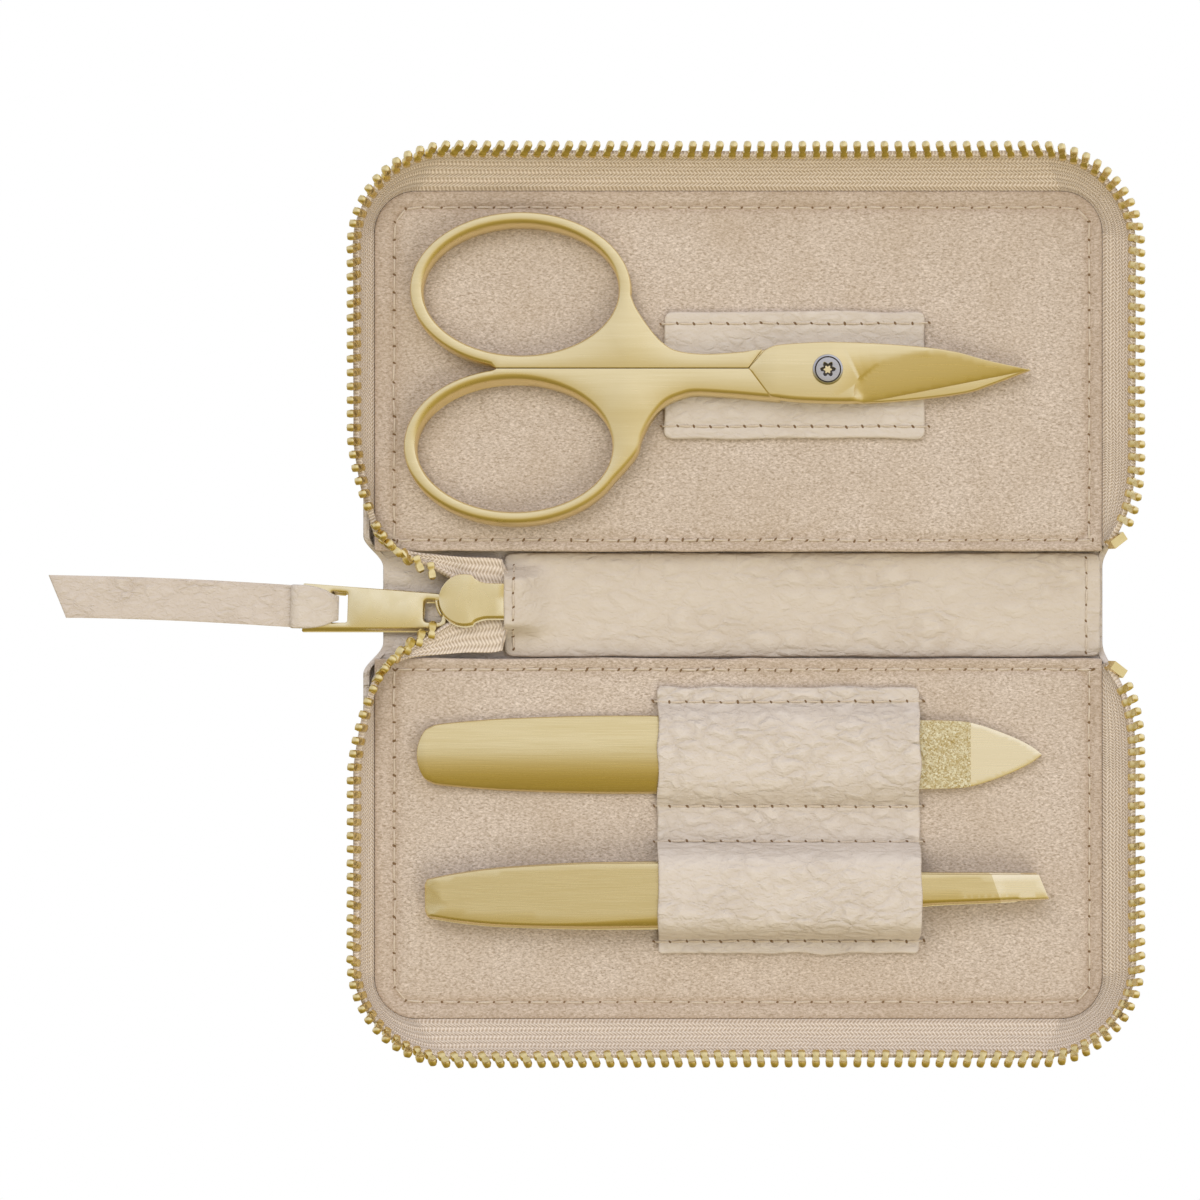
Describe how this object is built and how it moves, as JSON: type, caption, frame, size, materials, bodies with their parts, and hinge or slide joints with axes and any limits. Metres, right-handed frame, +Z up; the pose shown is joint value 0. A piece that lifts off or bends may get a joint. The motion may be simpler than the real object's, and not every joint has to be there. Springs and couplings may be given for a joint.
{
  "type": "manicure set case",
  "caption": "Open zip-round leather manicure case: two padded panels joined by a spine, flared zip walls, slider with leather pull, nail scissors, file and slant tweezers.",
  "frame": {"origin": "middle of the spine's underside, on the table", "axes": "+X along the spine, away from the zip slider; +Y towards the panel with the scissors; +Z up"},
  "size_m": [0.1583, 0.1318, 0.01],
  "materials": {
    "leather": "pebbled full-grain leather, pale nude",
    "suede": "brushed suede lining",
    "tape": "twill zip tape",
    "board": "grey stiffening board",
    "foam": "foam padding",
    "zip_metal": "champagne gold plated zip teeth",
    "pale_gold": "satin pale gold casting",
    "brushed_gold": "brushed steel with a gold coating",
    "grit": "sparkling abrasive coating",
    "screw": "bright steel"
  },
  "bodies": {
    "lower_half": {"lower_cover": "leather", "lower_board": "board", "lower_padding": "foam", "lower_lining": "suede", "lower_tape": "tape", "lower_teeth": "zip_metal", "lower_top_stop": "zip_metal", "tool_loop": "leather"},
    "spine": {"spine_cover": "leather", "spine_patch": "leather", "slider": "pale_gold", "bottom_stop": "zip_metal", "lower_tape_end": "tape", "upper_tape_end": "tape", "lower_teeth_end": "zip_metal", "upper_teeth_end": "zip_metal"},
    "upper_half": {"upper_cover": "leather", "upper_board": "board", "upper_padding": "foam", "upper_lining": "suede", "upper_tape": "tape", "upper_teeth": "zip_metal", "upper_top_stop": "zip_metal", "scissors_rest": "leather"},
    "scissors_front_half": {"scissors_front": "brushed_gold", "pivot_screw": "screw"},
    "scissors_back_half": {"scissors_back": "brushed_gold"},
    "file": {"nail_file": "brushed_gold", "file_coating": "grit"},
    "tweezers": {"tweezers_lower_arm": "brushed_gold"},
    "tweezers_arm": {"tweezers_upper_arm": "brushed_gold"},
    "pull": {"pull_link": "pale_gold", "strap_loop": "leather"},
    "strap": {"strap_tail": "leather"}
  },
  "joints": [
    {"name": "fold_lower", "type": "hinge", "parent": "lower_half", "child": "spine", "pos_m": [0, -0.0076, 0.0022], "axis": [1, 0, 0], "range_deg": [0, 90], "deforming": ["lower_tape_end", "upper_tape_end", "lower_teeth_end", "upper_teeth_end"]},
    {"name": "fold_upper", "type": "hinge", "parent": "spine", "child": "upper_half", "pos_m": [0, 0.0076, 0.0022], "axis": [1, 0, 0], "range_deg": [0, 90]},
    {"name": "scissors_lift", "type": "slide", "parent": "upper_half", "child": "scissors_front_half", "axis": [0, 0, -1], "range_m": [-0.05, 0]},
    {"name": "blades_open", "type": "hinge", "parent": "scissors_front_half", "child": "scissors_back_half", "pos_m": [0.0127, 0.0338, 0.0062], "axis": [0, 0, -1], "range_deg": [0, 40.2]},
    {"name": "file_slide", "type": "slide", "parent": "lower_half", "child": "file", "axis": [1, 0, 0], "range_m": [-0.004, 0.007]},
    {"name": "tweezers_slide", "type": "slide", "parent": "lower_half", "child": "tweezers", "axis": [1, 0, 0], "range_m": [-0.0035, 0.0065]},
    {"name": "tweezers_squeeze", "type": "hinge", "parent": "tweezers", "child": "tweezers_arm", "pos_m": [-0.0425, -0.0413, 0.0069], "axis": [0, 1, 0], "range_deg": [0, 1], "stiffness_Nm_per_rad": 0.6},
    {"name": "pull_swing", "type": "hinge", "parent": "spine", "child": "pull", "pos_m": [-0.0425, -0.0009, 0.00222], "axis": [0.0314, 0.9995, 0], "range_deg": [-2, 9]},
    {"name": "strap_bend", "type": "hinge", "parent": "pull", "child": "strap", "pos_m": [-0.06459, -0.00021, 0.00238], "axis": [0.0314, 0.9995, 0], "range_deg": [0, 75]}
  ],
  "couplings": [
    {"joint": "fold_upper", "follows": "fold_lower", "ratio": 1},
    {"joint": "blades_open", "follows": "scissors_lift", "rad_per_m": -13.963}
  ]
}
